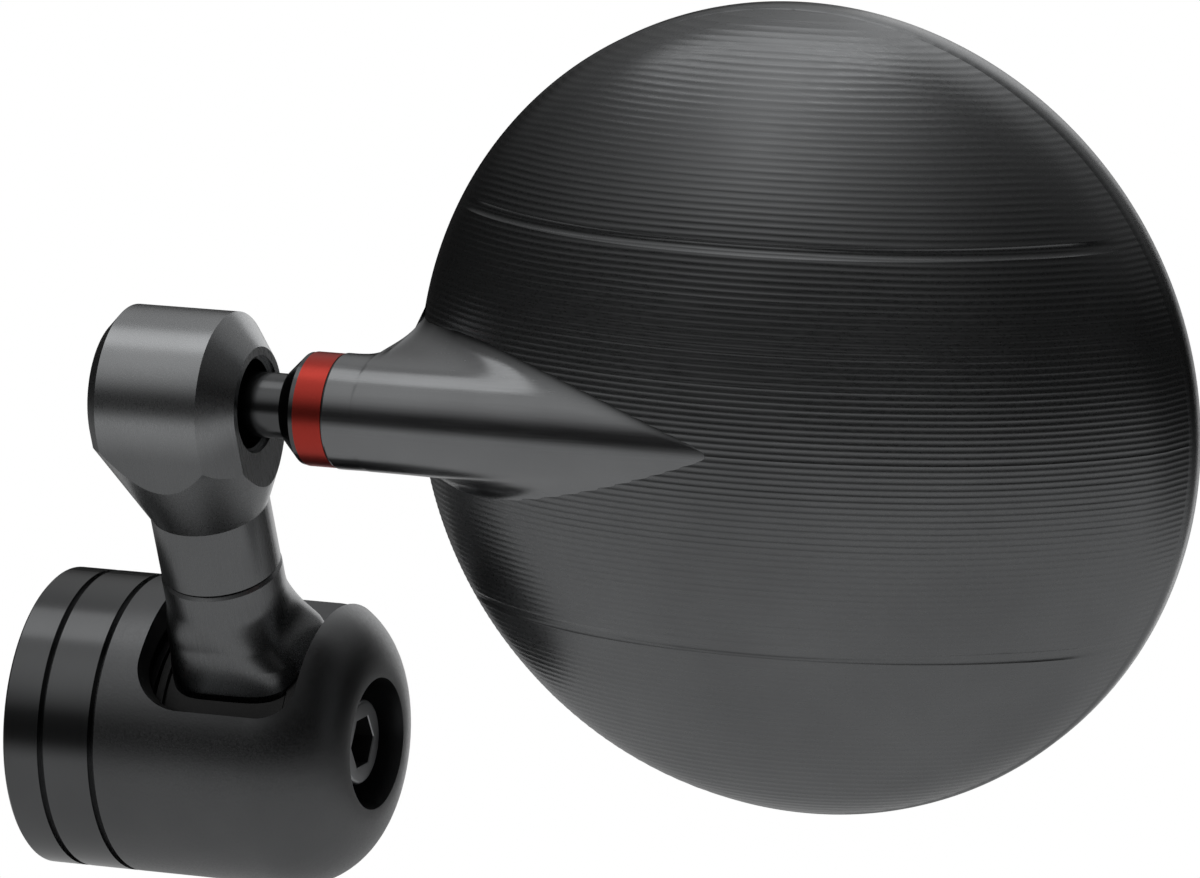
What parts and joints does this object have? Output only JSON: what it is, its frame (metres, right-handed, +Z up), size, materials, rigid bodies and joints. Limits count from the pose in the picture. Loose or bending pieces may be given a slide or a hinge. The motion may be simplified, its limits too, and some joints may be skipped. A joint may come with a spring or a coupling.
{
  "type": "motorcycle bar-end mirror",
  "caption": "Bar-end motorcycle mirror: a domed clamp housing, a swinging and swivelling arm with a ball joint, a stalk with a red ring and a round domed mirror head.",
  "frame": {"origin": "centre of the face that rests on the end of the handlebar", "axes": "+X outward along the bar axis, +Z up, glass towards +Y, domed back towards -Y"},
  "size_m": [0.1403, 0.0448, 0.1081],
  "materials": {
    "ring_black": "gloss black anodised",
    "housing_black": "fine matte black anodised",
    "screw_steel": "black oxide",
    "washer_steel": "satin",
    "spring_steel": "satin",
    "friction_polymer": "matte",
    "arm_grey": "brushed dark anodised",
    "bush_bronze": "turned",
    "seal_rubber": "matte",
    "stud_grey": "dark turned steel",
    "accent_red": "red anodised",
    "shell_grey": "machined dark anodised",
    "adhesive_black": "foam tape",
    "glass_mirror": "silvered"
  },
  "bodies": {
    "bar_end_base": {"bar_spacer_ring": "ring_black", "housing_spacer_ring": "ring_black", "bar_end_housing": "housing_black", "clamp_screw": "screw_steel", "screw_washer": "washer_steel", "hub_nut": "washer_steel", "backing_washer": "washer_steel", "disc_springs": "spring_steel", "inner_friction_washer": "friction_polymer", "outer_friction_washer": "friction_polymer"},
    "swing_foot": {"arm_foot": "arm_grey", "foot_bush": "bush_bronze", "swivel_grub_screw": "screw_steel"},
    "swivel_head": {"arm_head": "arm_grey", "swivel_o_ring": "seal_rubber", "ball_rear_seat": "friction_polymer", "ball_seat_spring": "spring_steel", "ball_retaining_ring": "ring_black"},
    "tilting_stud": {"ball_stud": "stud_grey"},
    "mirror_head": {"accent_ring": "accent_red", "mirror_shell": "shell_grey", "stalk_grub_screw": "screw_steel", "glass_adhesive_ring": "adhesive_black", "mirror_glass": "glass_mirror"}
  },
  "joints": [
    {"name": "arm_swing", "type": "hinge", "parent": "bar_end_base", "child": "swing_foot", "pos_m": [0.0242, 0, 0], "axis": [1, 0, 0], "range_deg": [-22, 12]},
    {"name": "arm_swivel", "type": "hinge", "parent": "swing_foot", "child": "swivel_head", "pos_m": [0.0242, 0, 0], "axis": [0, -0.3665, 0.9304], "range_deg": [-110, 110]},
    {"name": "ball_tilt", "type": "hinge", "parent": "swivel_head", "child": "tilting_stud", "pos_m": [0.0242, -0.0169, 0.04289], "axis": [0, -0.9304, -0.3665], "range_deg": [-8, 8]},
    {"name": "mirror_roll", "type": "hinge", "parent": "tilting_stud", "child": "mirror_head", "pos_m": [0.0242, -0.0169, 0.04289], "axis": [1, 0, 0], "continuous": true}
  ]
}
